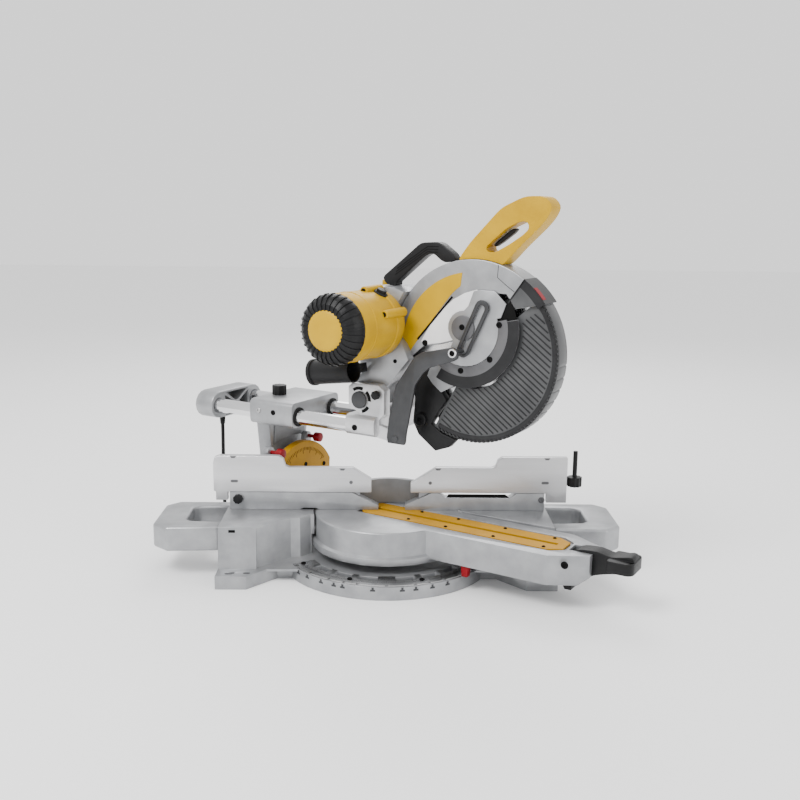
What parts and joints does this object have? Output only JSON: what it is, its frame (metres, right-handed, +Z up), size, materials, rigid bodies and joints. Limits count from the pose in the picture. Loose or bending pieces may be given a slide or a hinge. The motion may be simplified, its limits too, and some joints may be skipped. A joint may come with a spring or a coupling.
{
  "type": "sliding miter saw",
  "caption": "Sliding compound miter saw with twin slide rails, belt drive, split kerf plate and tall sliding fences.",
  "frame": {"origin": "On the floor under the miter pivot, in the middle of the table at the fence face.", "axes": "+X runs along the fence to the right as the operator sees it, +Y points away from the operator, +Z up. At rest the table is turned 58 degrees to the right and the head is up."},
  "size_m": [0.854, 0.6166, 0.684],
  "materials": {
    "silver_paint": "satin silver paint on castings",
    "machined_aluminium": "machined bright aluminium",
    "steel": "brushed steel",
    "chrome_steel": "polished steel",
    "yellow_plastic": "yellow moulded plastic",
    "yellow_plate": "yellow throat plate",
    "black_plastic": "black moulded plastic",
    "grey_metal": "dark grey painted steel",
    "smoke_plastic": "smoked polycarbonate",
    "red_plastic": "dark red plastic",
    "rubber": "black rubber",
    "copper_windings": "copper windings"
  },
  "bodies": {
    "base": {"base_casting": "silver_paint", "left_side_handle": "silver_paint", "right_side_handle": "silver_paint", "miter_scale_plate": "steel", "fixed_fence": "machined_aluminium"},
    "left_fence": {"left_sliding_fence": "machined_aluminium"},
    "right_fence": {"right_sliding_fence": "machined_aluminium"},
    "left_fence_clamp": {"left_fence_clamp_knob": "black_plastic"},
    "right_fence_clamp": {"right_fence_clamp_knob": "black_plastic"},
    "table": {"turntable": "silver_paint", "bevel_scale": "yellow_plastic", "miter_pointer": "red_plastic"},
    "left_kerf": {"left_kerf_plate": "yellow_plate"},
    "right_kerf": {"right_kerf_plate": "yellow_plate"},
    "miter_lever": {"miter_lock_lever": "black_plastic"},
    "miter_rod": {"miter_lock_rod": "steel"},
    "detent": {"detent_lever": "black_plastic"},
    "left_stop": {"left_bevel_stop": "red_plastic"},
    "right_stop": {"right_bevel_stop": "red_plastic"},
    "bevel_support": {"support_housing": "silver_paint", "bevel_pivot_bolt": "steel"},
    "rail_knob": {"rail_lock_knob": "black_plastic"},
    "bevel_lever": {"bevel_lock_lever": "black_plastic"},
    "carriage": {"near_rail": "chrome_steel", "far_rail": "chrome_steel", "rear_cap": "silver_paint", "pivot_bracket": "machined_aluminium", "chop_shaft": "grey_metal", "cord_strain_relief": "rubber", "power_cord": "rubber", "cord_coil": "rubber", "cord_plug": "rubber"},
    "lock_pin": {"head_lock_pin": "black_plastic"},
    "link": {"guard_link": "grey_metal"},
    "head": {"arm_casting": "silver_paint", "belt_cover": "silver_paint", "upper_guard": "silver_paint", "hub_plate": "silver_paint", "guard_ring": "grey_metal", "arbor_cover": "steel", "motor_housing": "yellow_plastic", "motor_end_cap": "black_plastic", "motor_stator": "copper_windings", "carry_handle": "black_plastic", "main_handle": "yellow_plastic", "dust_port": "black_plastic", "dust_chute": "rubber", "drive_belt": "rubber"},
    "lower_guard": {"lower_guard": "smoke_plastic", "guard_slot_arm": "grey_metal"},
    "blade": {"saw_blade": "chrome_steel", "arbor_shaft": "steel", "outer_flange": "steel", "blade_bolt": "steel", "arbor_pulley": "steel"},
    "rotor": {"armature": "copper_windings", "cooling_fan": "black_plastic", "motor_pulley": "steel"},
    "trigger": {"trigger": "black_plastic"},
    "arbor_button": {"arbor_lock_button": "yellow_plastic"}
  },
  "joints": [
    {"name": "left_fence_slide", "type": "slide", "parent": "base", "child": "left_fence", "axis": [-1, 0, 0], "range_m": [0, 0.1]},
    {"name": "right_fence_slide", "type": "slide", "parent": "base", "child": "right_fence", "axis": [-1, 0, 0], "range_m": [-0.1, 0]},
    {"name": "left_fence_clamp_turn", "type": "hinge", "parent": "base", "child": "left_fence_clamp", "pos_m": [-0.282, 0, 0.121], "axis": [0, -1, 0], "range_deg": [0, 180]},
    {"name": "right_fence_clamp_turn", "type": "hinge", "parent": "right_fence", "child": "right_fence_clamp", "pos_m": [0.355, 0.007, 0.158], "axis": [0, 0, 1], "range_deg": [0, 180]},
    {"name": "miter", "type": "hinge", "parent": "base", "child": "table", "pos_m": [0, 0, 0.06], "axis": [0, 0, -1], "range_deg": [-2, 108]},
    {"name": "left_kerf_adjust", "type": "slide", "parent": "table", "child": "left_kerf", "axis": [-0.5299, -0.848, 0], "range_m": [0, 0.004]},
    {"name": "right_kerf_adjust", "type": "slide", "parent": "table", "child": "right_kerf", "axis": [0.5299, 0.848, 0], "range_m": [0, 0.004]},
    {"name": "miter_lock", "type": "hinge", "parent": "table", "child": "miter_lever", "pos_m": [0.33583, -0.20985, 0.062], "axis": [-0.5299, -0.848, 0], "range_deg": [0, 24]},
    {"name": "miter_rod_travel", "type": "slide", "parent": "table", "child": "miter_rod", "axis": [0.848, -0.5299, 0], "range_m": [0, 0.002]},
    {"name": "detent_override", "type": "hinge", "parent": "table", "child": "detent", "pos_m": [0.29173, -0.18229, 0.039], "axis": [-0.5299, -0.848, 0], "range_deg": [0, 9], "stiffness_Nm_per_rad": 0.4, "springref_deg": -17.19},
    {"name": "left_bevel_stop_pull", "type": "slide", "parent": "table", "child": "left_stop", "axis": [0.848, -0.5299, 0], "range_m": [0, 0.008]},
    {"name": "right_bevel_stop_pull", "type": "slide", "parent": "table", "child": "right_stop", "axis": [0.848, -0.5299, 0], "range_m": [0, 0.008]},
    {"name": "bevel", "type": "hinge", "parent": "table", "child": "bevel_support", "pos_m": [0, 0, 0.1], "axis": [0.848, -0.5299, 0], "range_deg": [-43, 22.5]},
    {"name": "rail_lock", "type": "hinge", "parent": "bevel_support", "child": "rail_knob", "pos_m": [-0.21498, 0.12018, 0.308], "axis": [0, 0, 1], "range_deg": [0, 270]},
    {"name": "bevel_lock", "type": "hinge", "parent": "bevel_support", "child": "bevel_lever", "pos_m": [-0.24169, 0.15103, 0.1], "axis": [-0.848, 0.5299, 0], "range_deg": [-20, 35]},
    {"name": "rail_slide", "type": "slide", "parent": "bevel_support", "child": "carriage", "axis": [0.848, -0.5299, 0], "range_m": [-0.12, 0.095]},
    {"name": "head_lock_pull", "type": "slide", "parent": "carriage", "child": "lock_pin", "axis": [-0.5299, -0.848, 0], "range_m": [0, 0.01]},
    {"name": "chop", "type": "hinge", "parent": "carriage", "child": "head", "pos_m": [-0.01696, 0.0106, 0.322], "axis": [0.5299, 0.848, 0], "range_deg": [0, 45.5], "stiffness_Nm_per_rad": 9, "springref_deg": -148.97},
    {"name": "guard_link_swing", "type": "hinge", "parent": "carriage", "child": "link", "pos_m": [0.01644, -0.08692, 0.261], "axis": [0.5299, 0.848, 0], "range_deg": [0, 55]},
    {"name": "lower_guard_swing", "type": "hinge", "parent": "head", "child": "lower_guard", "pos_m": [0.15604, -0.0975, 0.419], "axis": [0.5299, 0.848, 0], "range_deg": [-137, 0]},
    {"name": "blade_spin", "type": "hinge", "parent": "head", "child": "blade", "pos_m": [0.15604, -0.0975, 0.419], "axis": [0.5299, 0.848, 0], "continuous": true},
    {"name": "rotor_spin", "type": "hinge", "parent": "head", "child": "rotor", "pos_m": [0.00424, -0.00265, 0.463], "axis": [0.5299, 0.848, 0], "continuous": true},
    {"name": "trigger_squeeze", "type": "hinge", "parent": "head", "child": "trigger", "pos_m": [0.18063, -0.11287, 0.604], "axis": [-0.5299, -0.848, 0], "range_deg": [0, 3.5], "stiffness_Nm_per_rad": 0.5, "springref_deg": -11.46},
    {"name": "arbor_lock_press", "type": "slide", "parent": "head", "child": "arbor_button", "axis": [0, 0, -1], "range_m": [0, 0.004], "stiffness_N_per_m": 300, "springref_m": -0.002}
  ],
  "couplings": [
    {"joint": "miter_rod_travel", "follows": "miter_lock", "m_per_rad": 0.0045},
    {"joint": "guard_link_swing", "follows": "chop", "ratio": 1.2},
    {"joint": "lower_guard_swing", "follows": "chop", "ratio": -3},
    {"joint": "rotor_spin", "follows": "blade_spin", "ratio": 1.69}
  ]
}
